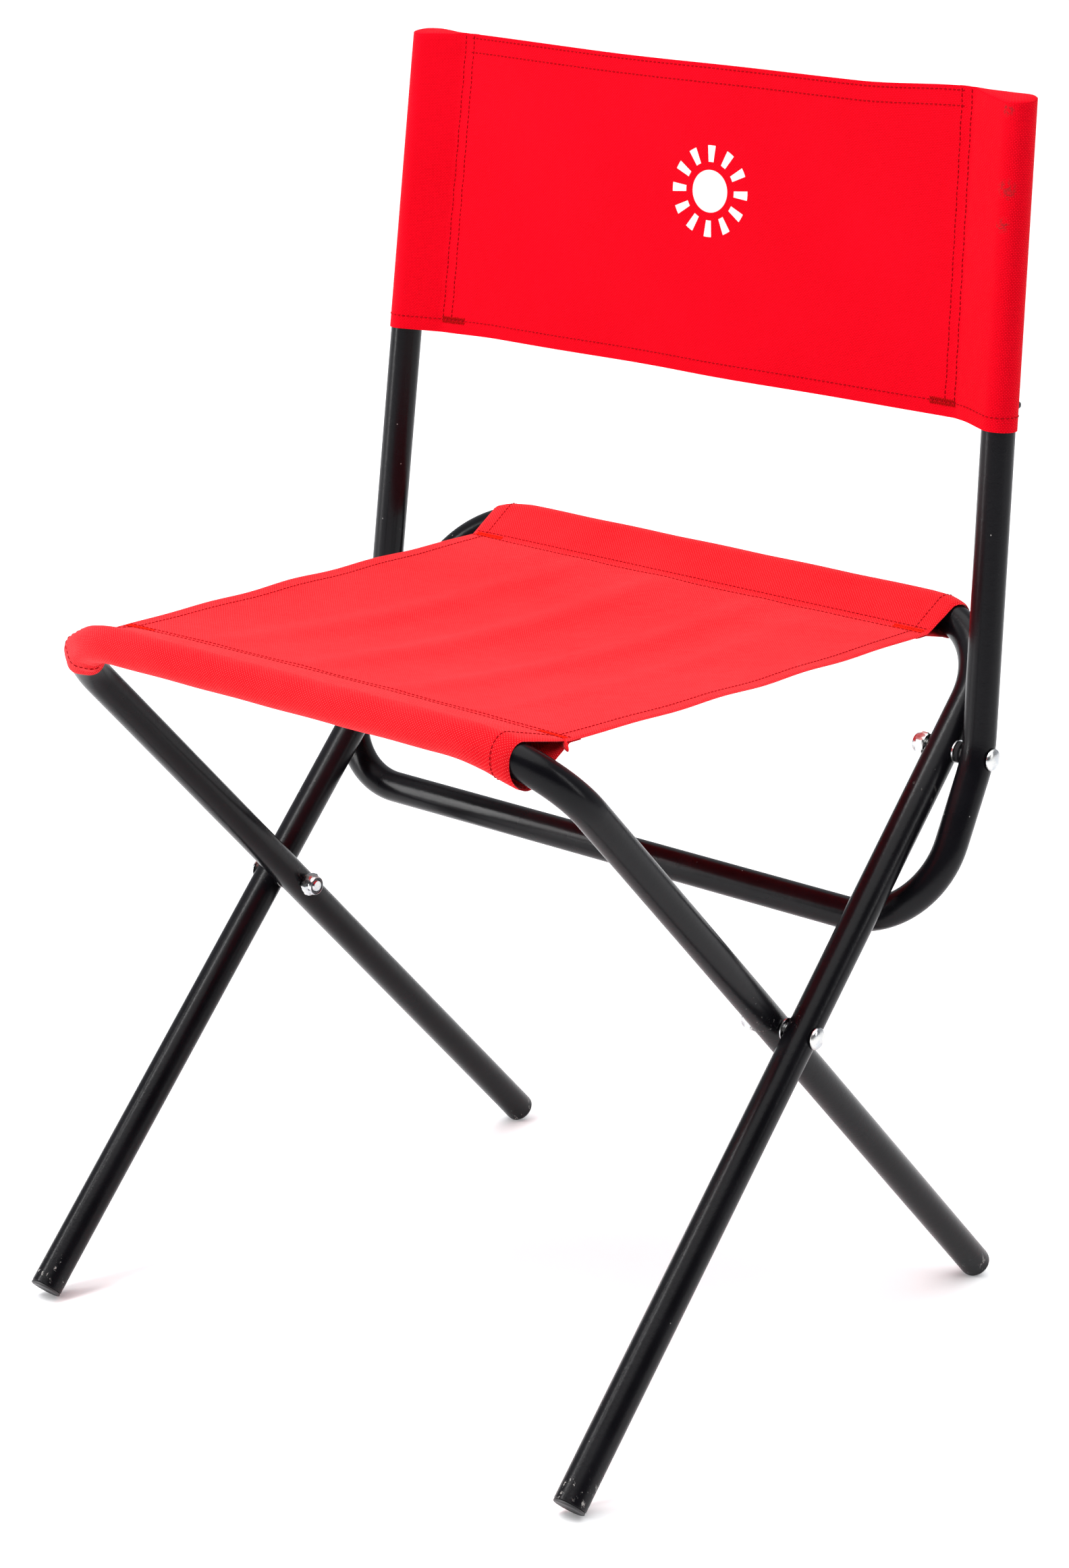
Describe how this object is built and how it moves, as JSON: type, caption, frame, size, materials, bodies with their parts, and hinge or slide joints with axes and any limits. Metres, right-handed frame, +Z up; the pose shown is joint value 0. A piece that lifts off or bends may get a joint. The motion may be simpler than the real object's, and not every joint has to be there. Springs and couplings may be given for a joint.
{
  "type": "folding director chair",
  "caption": "Folding camping chair: crossed black tube frames, a cloth seat between the bars and a tilting back frame with a slip-on cover.",
  "frame": {"origin": "on the floor, under the middle of the chair's bounding box", "axes": "+Z up, the chair faces -Y, +X to the sitter's left; both hinges turn about X"},
  "size_m": [0.4984, 0.469, 0.7623],
  "materials": {
    "black_tube": "satin black powder coat",
    "zinc": "bright zinc plate",
    "black_plastic": "moulded black plastic",
    "nylon": "dark nylon",
    "red_canvas": "woven red polyester canvas"
  },
  "bodies": {
    "front_frame": {"front_leg_frame": "black_tube", "front_foot_left": "black_plastic", "front_foot_right": "black_plastic", "recline_left_bolt": "zinc", "recline_left_lock_ring": "nylon", "recline_left_nut": "zinc", "recline_left_spacer": "black_plastic", "recline_left_washer": "zinc", "recline_right_bolt": "zinc", "recline_right_lock_ring": "nylon", "recline_right_nut": "zinc", "recline_right_spacer": "black_plastic", "recline_right_washer": "zinc", "scissor_left_bolt": "zinc", "scissor_left_lock_ring": "nylon", "scissor_left_nut": "zinc", "scissor_left_washer": "zinc", "scissor_right_bolt": "zinc", "scissor_right_lock_ring": "nylon", "scissor_right_nut": "zinc", "scissor_right_washer": "zinc", "seat_fabric": "red_canvas"},
    "rear_frame": {"rear_leg_frame": "black_tube", "rear_foot_left": "black_plastic", "rear_foot_right": "black_plastic"},
    "back": {"back_frame": "black_tube", "upright_plug_left": "black_plastic", "upright_plug_right": "black_plastic", "backrest_cover": "red_canvas"}
  },
  "joints": [
    {"name": "seat_fold", "type": "hinge", "parent": "front_frame", "child": "rear_frame", "pos_m": [0, -0.0082, 0.2333], "axis": [-1, 0, 0], "range_deg": [0, 76], "deforming": ["seat_fabric"]},
    {"name": "recline", "type": "hinge", "parent": "front_frame", "child": "back", "pos_m": [0, 0.1217, 0.3792], "axis": [1, 0, 0], "range_deg": [-5, 62]}
  ]
}
